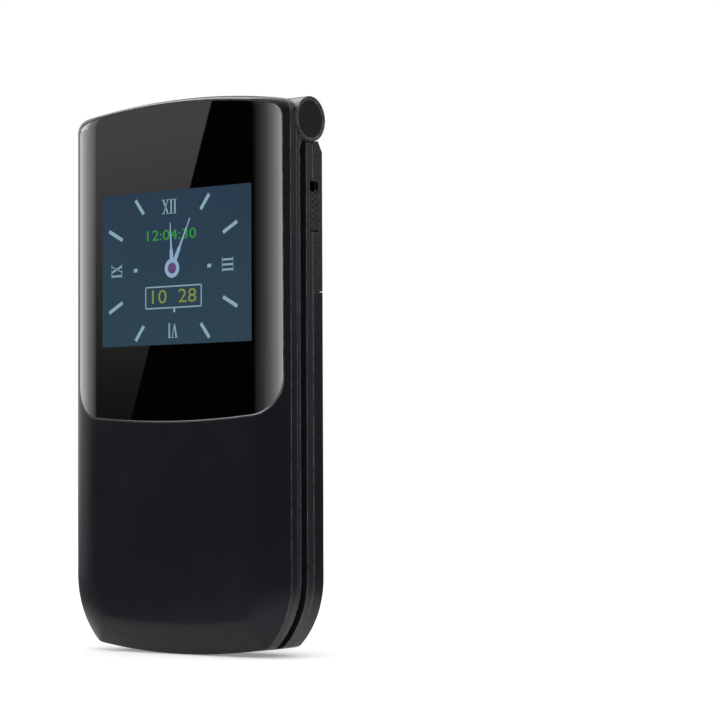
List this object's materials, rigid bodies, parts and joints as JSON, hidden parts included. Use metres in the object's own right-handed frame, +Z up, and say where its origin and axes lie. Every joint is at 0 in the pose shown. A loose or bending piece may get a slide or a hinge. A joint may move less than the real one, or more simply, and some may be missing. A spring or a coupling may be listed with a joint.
{
  "type": "flip phone",
  "caption": "Closed clamshell mobile phone with a clock display under a gloss lid window, a rear speaker grille, a camera plate and a large keypad inside.",
  "frame": {"origin": "under the middle of the closed phone, on the surface that its lower edge stands on", "axes": "+X to the right as the lid is faced, +Y from the lid's front towards the battery cover, +Z up along the closed phone to the hinge barrel"},
  "size_m": [0.0578, 0.0178, 0.112],
  "materials": {
    "satin_shell": "satin",
    "grained_shell": "fine moulded grain",
    "frame_plastic": "satin",
    "gloss_window": "polished",
    "clear_window": "polished",
    "clock_face": "lit display",
    "main_screen": "lit display",
    "key_plastic": "satin",
    "gold_trim": "satin",
    "gold_mesh": "woven",
    "dark_plastic": "matte",
    "lens_surround": "satin",
    "lens_glass": "polished",
    "flash_lens": "gloss",
    "soft_rubber": "matte",
    "circuit_board": "solder mask",
    "plated_steel": "plated",
    "contact_gold": "plated",
    "flex_film": "polyimide film",
    "battery_sleeve": "printed film"
  },
  "bodies": {
    "base": {"base_front_frame": "frame_plastic", "rear_housing": "grained_shell", "battery": "battery_sleeve", "battery_contacts": "contact_gold", "main_board": "circuit_board", "shield_can": "plated_steel", "keypad_sheet": "soft_rubber", "loudspeaker": "dark_plastic", "speaker_mesh": "gold_mesh", "grille_crossbar": "dark_plastic", "camera_ring": "gold_trim", "camera_plate": "gloss_window", "lens_cone": "lens_surround", "camera_lens": "lens_glass", "camera_module": "dark_plastic", "flash_frame": "gold_trim", "flash_led": "flash_lens", "charge_port": "plated_steel", "motor_case": "plated_steel", "microphone": "plated_steel", "sim_holder": "plated_steel", "housing_screws": "plated_steel", "screw_caps": "frame_plastic", "hinge_cartridge": "plated_steel", "hinge_bush": "plated_steel", "hinge_flex": "flex_film"},
    "lid": {"lid_cover": "satin_shell", "lid_window": "gloss_window", "outer_display": "clock_face", "lid_board": "circuit_board", "inner_display": "main_screen", "lid_inner_frame": "frame_plastic", "inner_window": "clear_window", "earpiece": "dark_plastic", "lid_bumpers": "soft_rubber", "lid_screws": "plated_steel", "hinge_caps": "frame_plastic", "hinge_shafts": "plated_steel"},
    "battery_cover": {"battery_cover": "satin_shell"},
    "charge_flap": {"charge_flap": "soft_rubber"},
    "motor_weight": {"motor_weight": "plated_steel"},
    "key_1": {"key_1": "key_plastic"},
    "key_2": {"key_2": "key_plastic"},
    "key_3": {"key_3": "key_plastic"},
    "key_4": {"key_4": "key_plastic"},
    "key_5": {"key_5": "key_plastic"},
    "key_6": {"key_6": "key_plastic"},
    "key_7": {"key_7": "key_plastic"},
    "key_8": {"key_8": "key_plastic"},
    "key_9": {"key_9": "key_plastic"},
    "key_star": {"key_star": "key_plastic"},
    "key_0": {"key_0": "key_plastic"},
    "key_hash": {"key_hash": "key_plastic"},
    "key_soft_left": {"key_soft_left": "key_plastic"},
    "key_soft_right": {"key_soft_right": "key_plastic"},
    "key_call": {"key_call": "key_plastic"},
    "key_end": {"key_end": "key_plastic"},
    "nav_ring": {"nav_ring": "key_plastic"},
    "key_ok": {"key_ok": "key_plastic"}
  },
  "joints": [
    {"name": "flip_open", "type": "hinge", "parent": "base", "child": "lid", "pos_m": [0, -0.00032, 0.10615], "axis": [-1, 0, 0], "range_deg": [0, 160]},
    {"name": "battery_cover_lift", "type": "slide", "parent": "base", "child": "battery_cover", "axis": [0, 1, 0], "range_m": [0, 0.012]},
    {"name": "charge_flap_swing", "type": "hinge", "parent": "base", "child": "charge_flap", "pos_m": [0.028, 0.00096, 0.08445], "axis": [0, 1, 0], "range_deg": [0, 90]},
    {"name": "motor_weight_spin", "type": "hinge", "parent": "base", "child": "motor_weight", "pos_m": [-0.004, 0.00328, 0.09595], "axis": [1, 0, 0], "continuous": true},
    {"name": "key_1_press", "type": "slide", "parent": "base", "child": "key_1", "axis": [0, 1, 0], "range_m": [0, 0.0003], "stiffness_N_per_m": 200, "springref_m": -0.0015},
    {"name": "key_2_press", "type": "slide", "parent": "base", "child": "key_2", "axis": [0, 1, 0], "range_m": [0, 0.0003], "stiffness_N_per_m": 200, "springref_m": -0.0015},
    {"name": "key_3_press", "type": "slide", "parent": "base", "child": "key_3", "axis": [0, 1, 0], "range_m": [0, 0.0003], "stiffness_N_per_m": 200, "springref_m": -0.0015},
    {"name": "key_4_press", "type": "slide", "parent": "base", "child": "key_4", "axis": [0, 1, 0], "range_m": [0, 0.0003], "stiffness_N_per_m": 200, "springref_m": -0.0015},
    {"name": "key_5_press", "type": "slide", "parent": "base", "child": "key_5", "axis": [0, 1, 0], "range_m": [0, 0.0003], "stiffness_N_per_m": 200, "springref_m": -0.0015},
    {"name": "key_6_press", "type": "slide", "parent": "base", "child": "key_6", "axis": [0, 1, 0], "range_m": [0, 0.0003], "stiffness_N_per_m": 200, "springref_m": -0.0015},
    {"name": "key_7_press", "type": "slide", "parent": "base", "child": "key_7", "axis": [0, 1, 0], "range_m": [0, 0.0003], "stiffness_N_per_m": 200, "springref_m": -0.0015},
    {"name": "key_8_press", "type": "slide", "parent": "base", "child": "key_8", "axis": [0, 1, 0], "range_m": [0, 0.0003], "stiffness_N_per_m": 200, "springref_m": -0.0015},
    {"name": "key_9_press", "type": "slide", "parent": "base", "child": "key_9", "axis": [0, 1, 0], "range_m": [0, 0.0003], "stiffness_N_per_m": 200, "springref_m": -0.0015},
    {"name": "key_star_press", "type": "slide", "parent": "base", "child": "key_star", "axis": [0, 1, 0], "range_m": [0, 0.0003], "stiffness_N_per_m": 200, "springref_m": -0.0015},
    {"name": "key_0_press", "type": "slide", "parent": "base", "child": "key_0", "axis": [0, 1, 0], "range_m": [0, 0.0003], "stiffness_N_per_m": 200, "springref_m": -0.0015},
    {"name": "key_hash_press", "type": "slide", "parent": "base", "child": "key_hash", "axis": [0, 1, 0], "range_m": [0, 0.0003], "stiffness_N_per_m": 200, "springref_m": -0.0015},
    {"name": "key_soft_left_press", "type": "slide", "parent": "base", "child": "key_soft_left", "axis": [0, 1, 0], "range_m": [0, 0.0003], "stiffness_N_per_m": 200, "springref_m": -0.0015},
    {"name": "key_soft_right_press", "type": "slide", "parent": "base", "child": "key_soft_right", "axis": [0, 1, 0], "range_m": [0, 0.0003], "stiffness_N_per_m": 200, "springref_m": -0.0015},
    {"name": "key_call_press", "type": "slide", "parent": "base", "child": "key_call", "axis": [0, 1, 0], "range_m": [0, 0.0003], "stiffness_N_per_m": 200, "springref_m": -0.0015},
    {"name": "key_end_press", "type": "slide", "parent": "base", "child": "key_end", "axis": [0, 1, 0], "range_m": [0, 0.0003], "stiffness_N_per_m": 200, "springref_m": -0.0015},
    {"name": "nav_ring_press", "type": "slide", "parent": "base", "child": "nav_ring", "axis": [0, 1, 0], "range_m": [0, 0.0003], "stiffness_N_per_m": 200, "springref_m": -0.0015},
    {"name": "key_ok_press", "type": "slide", "parent": "base", "child": "key_ok", "axis": [0, 1, 0], "range_m": [0, 0.0003], "stiffness_N_per_m": 200, "springref_m": -0.0015}
  ]
}
